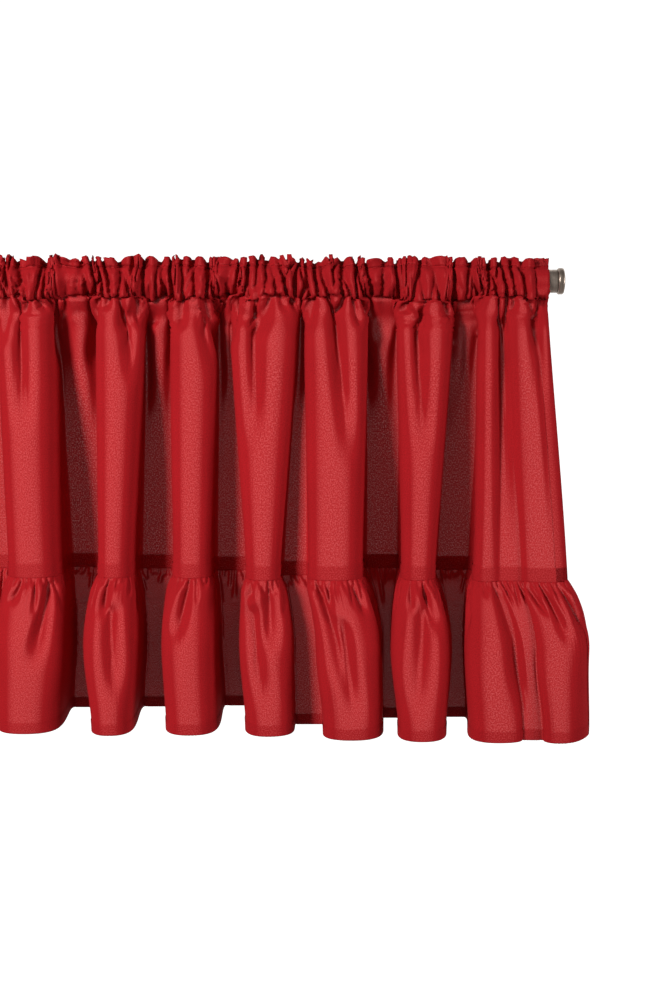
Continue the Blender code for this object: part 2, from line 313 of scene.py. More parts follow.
def hanging_controls(z):
    """Control points (x, y) of the freely hanging folds: two arrays (heights, POINTS)."""
    left, right = station("left", z), station("right", z)
    front = reach(TOP_FRONT, folds.seam_front, folds.hem_front, z)
    top_valley = TOP_VALLEY + 0.5 * np.maximum(0.0, folds.seam_valley)
    valley = reach(top_valley, folds.seam_valley, folds.hem_valley, z)
    tuck = folds.tuck * (1 - ramp(LOWER_STITCH - z, 0, TUCK_HEIGHT))[:, None]
    before = np.concatenate([reach(*LEFT_SIDE_REACH, z), valley[:, :-1]], axis=1)
    left_depth = np.clip((front - before) / DEEP_FOLD, 0, 1)
    right_depth = np.clip((front - valley) / DEEP_FOLD, 0, 1)
    next_left = np.concatenate([left[:, 1:], right[:, -1:]], axis=1)
    x = [
        left + LEFT_UNDERCUT * left_depth,
        left,
        mix(left, right, CROWN_AT),
        right,
        right - RIGHT_UNDERCUT * right_depth,
        mix(right, next_left, FLOOR_START),
        mix(right, next_left, folds.tuck_at),
        mix(right, next_left, FLOOR_END),
    ]
    near = front - LEFT_FALL * left_depth
    far = front - RIGHT_FALL * right_depth
    far[:, -1] -= END_FALL * ramp(SEAM - z, 0, SEAM - HEM)
    y = [before, near, front + FRONT_CROWN, far, valley, valley, valley + tuck, valley]
    x, y = np.stack(x, axis=2), -np.stack(y, axis=2)
    return x.reshape(len(z), -1)[:, :POINTS], y.reshape(len(z), -1)[:, :POINTS]


# %% Places along the rod
CLOTH_SHARE = 0.75
HANGING_SHARE = 0.4


def rod_places():
    """X of each control point where the cloth is drawn up. Each fold keeps its own share of
    the rod. Inside it, a place lies between an even row, its share of the cloth, and where it
    would hang freely."""
    ends = np.append(0.5 * (folds.top_right[:-1] + folds.top_left[1:]), folds.top_right[-1])
    hang_x, hang_y = hanging_controls(np.array([SEAM]))
    cloth = run_length(hang_x[0], hang_y[0])
    found = np.zeros(POINTS)
    start, first = folds.top_left[0], 0
    for number, end in enumerate(ends):
        last = min(number * POINTS_A_FOLD + MID_VALLEY, POINTS - 1)
        share = (cloth[first : last + 1] - cloth[first]) / (cloth[last] - cloth[first])
        even = np.linspace(0, 1, last + 1 - first)
        found[first : last + 1] = mix(start, end, mix(even, share, CLOTH_SHARE))
        start, first = end, last
    hanging = hanging_controls(np.array([LOWER_STITCH]))[0][0]
    return np.maximum.accumulate(mix(found, hanging, HANGING_SHARE))


ROD_X = rod_places()
print("drawn up, the cloth is", round(ROD_X[-1] - ROD_X[0]), "mm wide")

# %% Grooves in the fronts
# Long soft grooves that split the fronts below the stitches: place, length, lean, half width
# and depth
GROOVES = (
    (-436, 110, 6, 10, 7.0), (-377, 120, -8, 11, 9.0), (-307, 90, 8, 10, 8.0),
    (-245, 130, -10, 12, 9.0), (-181, 70, 4, 10, 7.0), (-112, 110, 8, 11, 8.0),
    (-52, 95, -6, 10, 8.0), (24, 110, 4, 11, 8.5), (111, 72, 3, 9, 8.5),
    (169, 64, 12, 8, 6.0), (216, 125, 2, 12, 9.0), (280, 136, 13, 12, 10.0),
    (348.5, 130, 5, 11, 10.0), (417, 240, 2, 13, 6.0), (443, 90, 4, 9, 5.0),
)
GROOVE_GAIN = 1.2
GROOVE_FADE = 1.3
GROOVE_ENTRY = 14.0


def grooved(x, y, z):
    """Presses the grooves into the fronts, which are the cloth well in front of the rod."""
    for at, length, lean, half_width, deep in GROOVES:
        share = np.clip((LOWER_STITCH - z) / length, 0, 1)[:, None]
        across = (x - at - lean * share) / half_width
        fading = (1 - share * share) ** GROOVE_FADE
        amount = GROOVE_GAIN * deep * fading * ramp(share * length, 0, GROOVE_ENTRY)
        y = y + amount * np.clip(1 - across**2, 0, 1) ** 2 * ramp(-y, 6.0, 10.0)
    return y


print(len(GROOVES), "grooves")

# %% The smooth cloth
GATHERS_END = -40.0
STITCH_DEPTH = 0.45
FINE_STEPS = 8001


def cloth_rows(z, u):
    """The smooth cloth at heights z: x and y, arrays (heights, columns)."""
    hang_x, hang_y = hanging_controls(z)
    freed = ramp(LOWER_STITCH - z, 0, LOWER_STITCH - GATHERS_END)[:, None]
    x = spline_rows(mix(hang_x, ROD_X[None], 1 - freed), u)
    y = spline_rows(hang_y * mix(STITCH_DEPTH, 1.0, freed), u)
    return x, grooved(x, y, z)


def seam_line(u):
    """X, y and distance along the smooth cloth at the seam, for column places u."""
    x, y = (row[0] for row in cloth_rows(np.array([SEAM]), u))
    return x, y, run_length(x, y)


def spread_columns(count):
    """Column places u, an equal run of cloth apart along the seam."""
    fine = np.linspace(0, POINTS - 1, FINE_STEPS)
    along = seam_line(fine)[2]
    print("the smooth seam runs", round(along[-1]), "mm")
    return np.interp(np.linspace(0, along[-1], count), along, fine)


# %% [markdown]
# ## Creases
# Gathered cloth is a row of rounded lobes that meet in sharp creases. They could be sculpted
# one by one, or faked with a bump, but real shape is what catches the light. We start from a
# field that is 1 everywhere and let every crease pull it down to 0 along its own line. A
# crease starts narrow at the stitching, leans, widens and dies out, so the lobes beside it
# run together further down, as they do in real cloth.

# %% Crease field
Crease = namedtuple("Crease", "at start length lean width spread strength sharp")
ROUNDING, ROUNDING_SQUARED = 0.1, 0.01
FADED_POWER = 1.6


def crease_field(along, depth, creases):
    """1 on the lobes and 0 in the creases: along (columns), depth (rows), both in mm."""
    field = np.ones((len(depth), len(along)))
    for crease in creases:
        share = (depth - crease.start) / crease.length
        centre = crease.at + crease.lean * np.clip(share, 0, 1)
        width = crease.width + crease.spread * np.clip(share, 0, 1)
        alive = (1 - ease(2 * share - 1)) * ease(1 + share * 6)
        widest = width.max()
        low, high = np.searchsorted(along, [centre.min() - widest, centre.max() + widest])
        if high <= low:
            continue
        t = np.abs(along[None, low:high] - centre[:, None]) / width[:, None]
        t = np.sqrt(t * t + ROUNDING_SQUARED) - ROUNDING * np.clip(1 - t, 0, 1)
        t = np.clip(t, 0, 1)
        power = mix(FADED_POWER, crease.sharp, alive)[:, None]
        bowl = (1 - (1 - t) ** 2) ** power
        field[:, low:high] *= 1 - crease.strength * alive[:, None] * (1 - bowl)
    return field


one = crease_field(np.arange(-6.0, 7.0, 3.0), np.array([5.0]), [Crease(0, 0, 20, 0, 5, 0, 1, 1)])
print("across one crease:", np.round(one[0], 2))


# %% [markdown]
# ## Sheets
# Thin cloth is best kept as one layer of faces. A sheet is a grid of points: rows run across
# the cloth, columns run down it. We push points out along the normal of the smooth cloth to
# raise the lobes, and turn the last few columns under at each side for the hem. Its UV map is
# the cut cloth laid flat, so the weave follows the threads.

# %% Grid tools
NEARLY_ZERO = 1e-9


def plan_normals(x, y):
    """Unit normals in plan, pointing into the room where the cloth faces it."""
    dx, dy = np.gradient(x, axis=1), np.gradient(y, axis=1)
    size = np.hypot(dx, dy) + NEARLY_ZERO
    return dy / size, -dx / size


def surface_normals(grid):
    across = np.gradient(grid, axis=1)
    down = np.gradient(grid, axis=0)
    normal = np.cross(across, down)
    return normal / (np.linalg.norm(normal, axis=2, keepdims=True) + NEARLY_ZERO)


def turn_under(grid, columns, gap):
    """Adds a side hem at both ends: the edge columns again, folded close behind."""
    behind = grid + surface_normals(grid) * gap
    left = behind[:, columns:0:-1]
    right = behind[:, -2 : -columns - 2 : -1]
    return np.concatenate([left, grid, right], axis=1)


# %% Grid to mesh
def cut_size(name, grid):
    """The size that a sheet is cut to, in metres: its middle thread's length each way."""
    flat = []
    for axis in (1, 0):
        threads = np.linalg.norm(np.diff(grid, axis=axis), axis=2).sum(axis=axis)
        flat.append(round(float(np.median(threads)) * MM, 3))
    print(name, "is cut to", flat, "metres")
    return tuple(flat)


def make_sheet(name, grid, flat):
    """A mesh object from a grid in mm, with its cut size as the UV map, in metres."""
    rows, columns = grid.shape[:2]
    index = np.arange(rows * columns).reshape(rows, columns)
    quads = np.stack([index[:-1, :-1], index[:-1, 1:], index[1:, 1:], index[1:, :-1]], axis=2)
    quads = quads.reshape(-1, 4)
    data = bpy.data.meshes.new(name)
    data.from_pydata((grid.reshape(-1, 3) * MM).tolist(), [], quads.tolist())
    across, down = np.meshgrid(np.linspace(0, flat[0], columns), np.linspace(0, flat[1], rows))
    places = np.stack([across.ravel(), down.ravel()], axis=1)
    layer = data.uv_layers.new(name="cut")
    layer.data.foreach_set("uv", places[quads.ravel()].astype(np.float32).ravel())
    data.shade_smooth()
    print(name, rows, "rows x", columns, "columns,", 2 * len(quads), "triangles")
    return add_object(name, data)


# %% [markdown]
# ## Settling the cloth
# Drawing alone can't give cloth its drag lines, so each sheet is also settled. Blender's own
# cloth simulation could do it, but it takes minutes and is hard to repeat exactly. Instead,
# threads keep their length: neighbours that are too far apart are drawn together, and
# neighbours that are too close are pushed apart. Stitched rows are held or nearly held. About
# a hundred passes of small corrections, on whole arrays, let spare width run into creases
# just as it does in a real gather.

# %% Pairs of neighbours
SHORTEST = 1e-6


def neighbour_pairs(shape, rows, columns):
    """Slices of all pairs (rows, columns) apart, in sets that share no point."""
    height, width = shape
    found = []
    for start in range(2 * (rows or columns)):
        if rows:
            above = slice(start, height - rows, 2 * rows)
            below = slice(start + rows, height, 2 * rows)
            left = slice(max(0, -columns), width - max(0, columns))
            right = slice(max(0, columns), width + min(0, columns))
        else:
            above = below = slice(None)
            left = slice(start, width - columns, 2 * columns)
            right = slice(start + columns, width, 2 * columns)
        found.append(((above, left), (below, right)))
    return found


def draw_together(grid, free, pairs, rest, stiffness, only_push=False):
    """Moves each pair towards its rest distance, sharing the move by how free the points are."""
    for first, other in pairs:
        a, b = grid[first], grid[other]
        if not a.size:
            continue
        apart = b - a
        length = np.sqrt((apart * apart).sum(axis=2, keepdims=True)) + SHORTEST
        wanted = rest[first][..., None] if isinstance(rest, np.ndarray) else rest
        error = (length - wanted) / length
        if only_push:
            error = np.minimum(error, 0.0)
        free_a, free_b = free[first][..., None], free[other][..., None]
        share = stiffness * error / (free_a + free_b + SHORTEST) * apart
        grid[first] += share * free_a
        grid[other] -= share * free_b


print("pairs two columns apart come in", len(neighbour_pairs((1, 9), 0, 2)), "sets")

# %% Settling
THREAD_PULL = 0.9
SLANT_PULL = 0.12
ROOM_PUSH = 0.5


def settle(
    grid, across, down, free, goal_pull, passes, stiff=(0.62, 0.42), pushed=(3, 5), room=1.5
):
    """Settles a sheet. across and down are its threads' rest lengths, and free is 0 where it
    is held. stiff says how straight the cloth stays over four and eight columns, and columns
    that are pushed apart keep room between them."""
    grid = grid.astype(np.float32)
    goal = grid.copy()
    shape = grid.shape[:2]
    free = free.astype(np.float32)
    across = np.broadcast_to(np.asarray(across, np.float32), shape)
    down = np.broadcast_to(np.asarray(down, np.float32), shape)
    slant = np.sqrt(across**2 + down**2)
    threads = (
        (neighbour_pairs(shape, 0, 1), across, THREAD_PULL),
        (neighbour_pairs(shape, 1, 0), down, THREAD_PULL),
        (neighbour_pairs(shape, 1, 1) + neighbour_pairs(shape, 1, -1), slant, SLANT_PULL),
    )
    bends = (
        (neighbour_pairs(shape, 0, 2), (1.4 + 0.5 * stiff[0]) * across, 0.35),
        (neighbour_pairs(shape, 0, 4), 4 * across * stiff[0], 0.25),
        (neighbour_pairs(shape, 0, 8), 8 * across * stiff[1], 0.2),
        *((neighbour_pairs(shape, 0, columns), room, ROOM_PUSH) for columns in pushed),
    )
    for _ in range(passes):
        for pairs, rest, stiffness in threads:
            draw_together(grid, free, pairs, rest, stiffness)
        for pairs, rest, stiffness in bends:
            draw_together(grid, free, pairs, rest, stiffness, only_push=True)
        grid += goal_pull * free[..., None] * (goal - grid)
    moved = np.linalg.norm(grid - goal, axis=2)
    print("settled in", passes, "passes, moved by", round(float(np.median(moved)), 2), "mm")
    return grid.astype(float)


# %% [markdown]
# ## The panel
# The upper cloth is one piece. From the bottom it starts as the seam allowance, pressed up
# behind. It then turns at the seam, climbs as the hanging folds, wraps the rod as a pocket
# between two lines of stitches, stands up as a small frilled header, and comes back down
# behind the rod. A single sheet with all its layers shows the same edges and hems as the real
# one. Where two layers lie together less light soaks through, and the painted light is weaker
# there, so the cloth looks denser.

# %% Places of the panel's creases
# Places of the creases on the right half at the stitches, and those that run on below them:
# place, length, lean, width, widening
PINCHES = (
    6, 18, 25, 31, 38, 44, 62, 69, 80, 88, 94, 100, 106, 115, 125, 136, 144, 151, 158, 168, 177,
    182, 193, 200, 211, 219, 225, 235, 243, 249, 261, 268, 277, 287, 293, 299, 305, 312, 320, 334,
    344, 355, 367, 377, 389, 399, 406, 413, 421, 429, 436, 446,
)
LONG_CREASES = (
    (18, 42, -1, 4.0, 4), (49, 60, 6, 4.5, 9), (79, 70, -3, 4.5, 8), (125, 110, 4, 4.0, 8),
    (143, 40, 3, 3.5, 3), (160, 28, -1, 3.5, 3), (172, 60, 12, 4.0, 3), (185, 110, 2, 6.0, 6),
    (207, 40, 3, 4.0, 5), (229, 34, -5, 4.0, 5), (253, 110, 0, 5.0, 6), (306, 100, 6, 5.0, 8),
    (321, 46, -2, 4.0, 4), (372, 36, 9, 4.0, 3), (389, 110, -2, 7.0, 6), (440, 50, 5, 3.5, 5),
)
PINCH_SEED = 11
PINCH_SHIFT, CREASE_SHIFT = 3.0, 4.0
LAST_GATHER = 440


def mirrored(rows, seed):
    """The left half: the right half's rows turned round and moved about, so that no two match."""
    draw = np.random.default_rng(seed)
    return [(-row[0] + draw.uniform(-CREASE_SHIFT, CREASE_SHIFT), *row[1:]) for row in rows]


def pinch_places():
    """Both halves' pinches along the rod, in order. The last one has the same place on both."""
    draw = np.random.default_rng(PINCH_SEED)
    left = [-place + draw.uniform(-PINCH_SHIFT, PINCH_SHIFT) for place in PINCHES[:-1]]
    return sorted([*PINCHES, *left, -float(PINCHES[-1])])


pinches = pinch_places()
print(len(pinches), "pinches")

# %% Panel creases
HEADER_RISE = HEADER_TOP - LOWER_STITCH
BEFORE_STITCH = -1.0


def gather_creases(seed, wander):
    """Creases that climb from the lower stitches to the header's edge, each leaning its own way."""
    draw = np.random.default_rng(seed)
    found = []
    for at, gap in zip(pinches, np.gradient(pinches)):
        lean = 2 * draw.uniform(-wander, wander) * (abs(at) < LAST_GATHER)
        width = np.clip(0.62 * gap, 4.4, 9.0)
        strength = draw.uniform(0.85, 1.0)
        found.append(Crease(at, BEFORE_STITCH, 2 * HEADER_RISE, lean, width, 0.0, strength, 0.5))
    return found


def short_creases(seed, count):
    """Short creases between the pinches, for one edge of the pocket."""
    draw = np.random.default_rng(seed)
    return [
        Crease(
            draw.uniform(-438, 438), BEFORE_STITCH, draw.uniform(9, 26), draw.normal(0, 7), 3.4,
            0.0, draw.uniform(0.6, 1.0), 0.7,
        )
        for _ in range(count)
    ]


def drop_creases(seed):
    """Creases below the lower stitches: the long ones, and a short one at every pinch."""
    draw = np.random.default_rng(seed)
    found = [
        Crease(at, 0.0, length, lean, width, spread, draw.uniform(0.85, 1.0), 1.1)
        for at, length, lean, width, spread in (*LONG_CREASES, *mirrored(LONG_CREASES, 31))
    ]
    for place in pinches:
        if abs(place) < LAST_GATHER and min(abs(place - other.at) for other in found) > 4.0:
            found.append(
                Crease(
                    place, 0.0, draw.uniform(9, 30), draw.normal(0, 2.5), 3.6,
                    draw.uniform(1, 4), draw.uniform(0.7, 1.0), 0.7,
                )
            )
    return found


print(len(drop_creases(5)), "creases below the stitches")

# %% Columns of the panel
PANEL_COLUMNS = 925
CLOTH_END = 457
TAB, TAB_FADE = 11.0, 5.0
DRIFT_END = 470.0

u = spread_columns(PANEL_COLUMNS)
rod_x = spline_rows(ROD_X[None], u)[0]
panel_run = seam_line(u)[2][-1]
calm = ramp(CLOTH_END - np.abs(rod_x) - TAB, 0, TAB_FADE)
spacing = round(panel_run / (PANEL_COLUMNS - 1), 2)
print("panel threads", spacing, "mm apart,", round(panel_run), "mm of cloth")


def drift(pitch, size, seed):
    """A soft uneven wave along the rod: steps of about pitch, up to size either way."""
    knots = np.arange(-DRIFT_END, DRIFT_END + 1, pitch)
    values = (2 * uneven(seed, len(knots)) - 1) * size
    cell = np.clip(np.searchsorted(knots, rod_x) - 1, 0, len(knots) - 2)
    return mix(values[cell], values[cell + 1], ramp(rod_x, knots[cell], pitch))


stitch_y = cloth_rows(np.array([LOWER_STITCH]), u)[1][0]
lower_wave = drift(12.0, 3.2, 61) * calm
upper_wave = drift(11.0, 2.0, 62) * calm

# %% Hanging rows
# Depths below the lower stitches: close rows in the gathers, wider ones in the folds, and
# two close together at the seam that keep its edge crisp.
CLOSE_ROWS, CLOSE_DEPTH = 24, 48
WIDE_ROWS, WIDE_DEPTH = 34, 178.3
SEAM_DEPTHS = [227.2, 227.7]
LOBE = 9.0
LOW_LOBE = 7.5


def body_rows():
    """Rows from the seam up to the lower line of stitches."""
    close = np.linspace(0, CLOSE_DEPTH, CLOSE_ROWS)
    wide = CLOSE_DEPTH + np.linspace(0, 1, WIDE_ROWS + 1)[1:] * WIDE_DEPTH
    depth = np.concatenate([close, wide, SEAM_DEPTHS])[::-1]
    z = LOWER_STITCH - depth
    x, y = cloth_rows(z, u)
    lobes = crease_field(rod_x, depth, drop_creases(5))
    gathered = ramp(depth, 0, 25)
    height = mix(LOBE, LOW_LOBE, gathered) * mix(1.0, 0.25, ramp(depth, 35, 170))
    height = height * (1 - ramp(depth, 150, 77))
    nx, ny = plan_normals(x, y)
    proud = (lobes + mix(0.25, -0.45, gathered)[:, None]) * height[:, None] * calm
    z = z[:, None] + lower_wave * (1 - ramp(depth, 0, 34))[:, None]
    return np.stack([x + nx * proud, y + ny * proud, z], axis=2)


body = body_rows()
print(len(body), "hanging rows")

# %% Pocket and header rows
POCKET_ROWS = 15
HEADER_ROWS = 7
POCKET_RISE = UPPER_STITCH - LOWER_STITCH
FRONT_SEED, BACK_SEED, WANDER_SEED = 12, 15, 70
WANDER = 7.5
SHORT_CREASES = 48
ROD_BULGE = 10.0
STITCH_GAP = 0.4


def gathered_field(rise, seed):
    """Lobes above the lower stitches, with short creases at both edges of the pocket."""
    lobes = crease_field(rod_x, rise, gather_creases(seed, WANDER))
    lobes = lobes * crease_field(rod_x, rise, short_creases(seed + 1, SHORT_CREASES))
    from_top = short_creases(seed + 2, SHORT_CREASES)
    return lobes * crease_field(rod_x, HEADER_RISE - rise, from_top)


def wandering(rise):
    """How far the lobes wander along the rod on their way up, so that none stands straight."""
    share = ramp(rise, 0, HEADER_RISE)[:, None]
    bow = drift(10.0, 1.8, WANDER_SEED + 2) * np.sin(np.pi * share)
    return (drift(12.0, 3.2, WANDER_SEED + 1) * share + bow) * calm


def pocket_rows(side, seed, count):
    """Rows between the two lines of stitches: side is 1 in front of the rod and -1 behind."""
    turn = np.linspace(0, 1, count + 2)[1:-1]
    rise = POCKET_RISE * (0.5 - 0.5 * np.cos(np.pi * turn))
    middle = 2 * rise / POCKET_RISE - 1
    round_rod = np.sqrt(1 - middle**2)[:, None]
    lobes = gathered_field(rise, seed)
    height = (lobes + mix(0.25, -0.25, round_rod)) * mix(LOBE, 10.0, round_rod) * calm
    bulge = STITCH_GAP + ROD_BULGE * round_rod + height
    y = -side * bulge + stitch_y * (1 - ramp(rise, 0, 16))[:, None]
    wave = mix(lower_wave, upper_wave, ramp(middle, -1, 2)[:, None])
    return np.stack([rod_x + wandering(rise), y, (LOWER_STITCH + rise)[:, None] + wave], axis=2)


def header_rows(seed):
    """Rows from the upper stitches to the header's wandering top edge."""
    share = np.linspace(0, 1, HEADER_ROWS)[:, None]
    rise = POCKET_RISE + share[:, 0] * (HEADER_TOP - UPPER_STITCH)
    lobes = gathered_field(rise, seed)
    scallops = crease_field(rod_x, np.array([HEADER_RISE]), gather_creases(seed, WANDER))[0]
    crest = HEADER_TOP + (mix(-4.6, 1.8, scallops) + drift(16.0, 1.8, 63)) * calm
    sway = drift(12.0, 6.0, 64) * share * calm
    y = sway - STITCH_GAP - mix((lobes + 0.25) * LOBE, (lobes - 0.2) * 12.5, share) * calm
    z = mix(UPPER_STITCH + upper_wave, crest, share)
    return np.stack([rod_x + wandering(rise), y, z], axis=2)


front = np.concatenate([body, pocket_rows(1, FRONT_SEED, POCKET_ROWS), header_rows(FRONT_SEED)])
print(len(front), "rows from the seam to the header's edge")

# %% Thread lengths
def thread_lengths(grid, spare, each_side):
    """Rest lengths across: the drawn spacing, evened out over neighbours, with spare cloth."""
    apart = np.linalg.norm(np.diff(grid, axis=1), axis=2)
    padded = np.pad(apart, ((0, 0), (each_side, each_side + 1)), mode="edge")
    sums = np.cumsum(np.pad(padded, ((0, 0), (1, 0))), axis=1)
    width = 2 * each_side + 1
    even = (sums[:, width:] - sums[:, :-width]) / width
    return even[:, : grid.shape[1]] * spare


def row_lengths(grid):
    """Rest lengths down: one for each row, as cloth is cut straight."""
    found = np.median(np.linalg.norm(np.diff(grid, axis=0), axis=2), axis=1)
    return np.append(found, found[-1])[:, None]


print("rows are", np.round(row_lengths(front)[::12, 0], 1), "mm apart")

# %% Settle the panel's front
# The seam is held and the stitches are nearly free. Thread lengths are evened out over a few
# columns in the folds and over many in the gathers, which also get spare cloth and less
# stiffness. A light pull back to where the cloth was drawn is strongest near the seam.
NEARLY_HELD, STITCH_FREE = 0.3, 0.8
EVEN_FEW, EVEN_MANY = 4, 14

lower, upper = len(body) - 1, len(body) + POCKET_ROWS
level = front[..., 2].mean(axis=1)
free = np.ones(front.shape[:2])
free[:3] = 0.0
free[3:5] = NEARLY_HELD
free[lower] = free[upper] = STITCH_FREE
pull = mix(0.07, 0.06, ramp(-level, 20, 40)) + 0.08 * ramp(-level, 130, 100)
smooth = ramp(-level, 20, 45)[:, None]
stiff = (mix(0.42, 0.80, smooth), mix(0.26, 0.60, smooth))
spare = mix(1.0, 1.12, ramp(level, -50, 50))[:, None]
uneven_threads = thread_lengths(front, spare, EVEN_FEW)
even_threads = thread_lengths(front, spare, EVEN_MANY)
across = mix(uneven_threads, even_threads, ramp(level, -40, 25)[:, None])
down = 1.01 * row_lengths(front)
front = settle(front, across, down, free, pull[:, None, None], 130, stiff)

# %% Settle the pocket's back
back = pocket_rows(-1, BACK_SEED, POCKET_ROWS - 2)
back = np.concatenate([front[lower : lower + 1], back, front[upper : upper + 1]])
free = np.ones(back.shape[:2])
free[0] = free[-1] = 0.0
back = settle(back, thread_lengths(back, 1.05, EVEN_MANY), row_lengths(back), free, 0.03, 60)

# %% Round the rod
ROD_MARGIN = 0.8


def off_the_rod(grid):
    """Moves out any point that lies inside the rod or within the margin round it."""
    apart = np.hypot(grid[..., 1], grid[..., 2])
    out = np.maximum(1.0, (ROD_RADIUS + ROD_MARGIN) / np.maximum(apart, 1.0))
    grid[..., 1:] *= out[..., None]
    print((out > 1.0).sum(), "points moved off the rod")


def over_the_rod(first, last):
    """Two rows that lead from the header's back over the top of the rod."""
    rows = np.stack([mix(first, last, 0.33), mix(first, last, 0.67)])
    off_the_rod(rows)
    return rows


off_the_rod(front)
off_the_rod(back)

# %% Panel sheet
SIDE_HEM = 7
LAYER_GAP = 0.5
BAND_ROWS = 4

normal = surface_normals(front)
allowance = (front + normal * LAYER_GAP)[BAND_ROWS:0:-1]
header_back = front[upper + 1 :][::-1] + normal[upper + 1 :][::-1] * LAYER_GAP
crossing = over_the_rod(header_back[-1], back[-2])
panel_grid = np.concatenate([allowance, front, header_back, crossing, back[::-1][1:-1]])
panel_grid = turn_under(panel_grid, SIDE_HEM, LAYER_GAP)
PANEL_FLAT = cut_size("panel", panel_grid)
panel = make_sheet("panel_cloth", panel_grid, PANEL_FLAT)


# %% [markdown]
# ## The ruffle
# The ruffle is a longer strip gathered onto the seam by a thread. Hundreds of small puckers
# start at the stitches. Most die out within a centimetre or so, a few run on as long soft
# creases, and the strip swells out below them before it falls to its narrow hem. It is made
# in the same way as the panel, but with columns of its own, because it has more cloth.

# %% Columns of the ruffle
RUFFLE_COLUMNS = 1800

ruffle_u = spread_columns(RUFFLE_COLUMNS)
seam_x, seam_y, seam_place = seam_line(ruffle_u)


def on_the_fronts(x):
    """The place along the seam where a fold's front stands at x."""
    misfit = np.abs(seam_x - x) + 0.6 * np.maximum(0.0, seam_y + 18.0)
    return float(seam_place[np.argmin(misfit)])


print("x of 100 mm lies", round(on_the_fronts(100)), "mm along the seam")

# %% Puckers
PUCKER_PITCH = 3.9
PUCKER_LENGTHS = ((4, 8), (5, 10), (6, 14), (4, 8), (10, 22), (16, 40))
PUCKER_WIDTH, PUCKER_SPREAD, PUCKER_LEAN, PUCKER_SHARP = 2.4, 3.0, 3.0, 0.7


def scatter_puckers(seed, low, high):
    """Puckers at uneven steps, with uneven lengths."""
    draw = np.random.default_rng(seed)
    found = []
    at = low + PUCKER_PITCH * draw.uniform(0.3, 0.8)
    while at < high:
        shortest, longest = PUCKER_LENGTHS[draw.choice(len(PUCKER_LENGTHS))]
        length = draw.uniform(shortest, longest)
        grow = length / PUCKER_LENGTHS[-1][1]
        lean = draw.normal(0, PUCKER_LEAN) * (0.4 + grow)
        width = PUCKER_WIDTH * draw.uniform(0.75, 1.25)
        spread = PUCKER_SPREAD * grow * draw.uniform(0.6, 1.3)
        strength = draw.uniform(0.75, 1.0)
        found.append(Crease(at, 0.0, length, lean, width, spread, strength, PUCKER_SHARP))
        at += PUCKER_PITCH * draw.uniform(0.55, 1.5)
    return found


puckers = scatter_puckers(21, 2, seam_place[-1] - 2)
print(len(puckers), "puckers")

# %% Long creases of the ruffle
# The right half's: place and height where they start below the seam, length, lean, width,
# widening
RUFFLE_CREASES = (
    (27, 0, 22, -8, 4.0, 3), (47, 4, 75, -14, 6.0, 6), (96, 0, 34, -2, 4.0, 3),
    (115, 3, 30, 2, 4.5, 4), (163, 0, 56, -9, 5.0, 6), (185, 0, 28, 2, 4.0, 3),
    (213, 0, 20, 0, 4.0, 2), (227, 3, 62, -3, 7.0, 4), (266, 3, 95, 15, 6.0, 8),
    (277, 3, 24, -6, 3.5, 2), (293, 0, 30, 5, 4.0, 3), (303, 3, 72, 15, 5.0, 6),
    (351, 0, 44, 8, 4.5, 5), (362, 3, 30, 9, 3.5, 3), (394, 0, 42, 2, 4.5, 5),
    (411, 2, 118, 8, 6.0, 7), (436, 3, 24, 10, 3.5, 2), (447, 3, 46, 8, 4.0, 5),
    (461, 3, 42, 8, 4.5, 4), (350, 30, 90, -5, 9.0, 5), (280, 40, 85, 6, 9.0, 5),
    (215, 30, 90, 5, 9.0, 5), (100, 30, 80, 4, 9.0, 5),
)
NARROW_CREASE = 5
NARROW_SHARP, BROAD_SHARP = 0.9, 1.5

long_creases = []
for at, *shape in (*RUFFLE_CREASES, *mirrored(RUFFLE_CREASES, 41)):
    sharp = NARROW_SHARP if shape[3] < NARROW_CREASE else BROAD_SHARP
    long_creases.append(Crease(on_the_fronts(at), *shape, 0.95, sharp))
print(len(long_creases), "long creases")

# %% Ruffle rows
# The strip's top edge is tucked behind the panel's seam, and its lowest two rows lie close
# together for a crisp hem.
RUFFLE_TUCK = 1.5
TUCK_FADE = 2.6
RUFFLE_CLOSE_ROWS, RUFFLE_CLOSE = 19, 30
RUFFLE_WIDE_ROWS, RUFFLE_WIDE = 23, 98.3
HEM_DEPTHS = [128.8, 129.3]
LONG_CREASE_SIZE = 7.0
HEM_LIFT = 4.5


def ruffle_rows():
    """Rows from the seam down to the hem's edge. The hem is lifted a little where the cloth lies
    back, in the valleys.
    """
    close = np.linspace(-RUFFLE_TUCK, RUFFLE_CLOSE, RUFFLE_CLOSE_ROWS)
    wide = RUFFLE_CLOSE + np.linspace(0, 1, RUFFLE_WIDE_ROWS + 1)[1:] * RUFFLE_WIDE
    depth = np.concatenate([close, wide, HEM_DEPTHS])
    z = SEAM - depth
    x, y = cloth_rows(np.minimum(z, SEAM), ruffle_u)
    nx, ny = plan_normals(x, y)
    small = crease_field(seam_place, np.maximum(depth, 0), puckers)
    large = crease_field(seam_place, np.maximum(depth, 0), long_creases)
    tucked = (1.0 - ramp(depth, -RUFFLE_TUCK, TUCK_FADE))[:, None]
    small_size = mix(2.4, 3.6, ramp(depth, 0, 12))[:, None]
    large_size = LONG_CREASE_SIZE * ramp(depth, -3, 16) * mix(1.0, 0.5, ramp(depth, 50, 80))
    height = (small - 0.62) * small_size + (large - 0.8) * large_size[:, None]
    height = height * (1 - tucked) - 0.9 * tucked + 0.6
    x, y = x + nx * height, y + ny * height
    lift = HEM_LIFT * ramp(y, -40, 60) * ramp(depth, 0, HEM_DEPTHS[-1])[:, None]
    return np.stack([x, y, z[:, None] + lift], axis=2)


ruffle_front = ruffle_rows()
print(len(ruffle_front), "rows from the seam to the hem")

# %% Settle the ruffle
HEM_FREE = 0.35

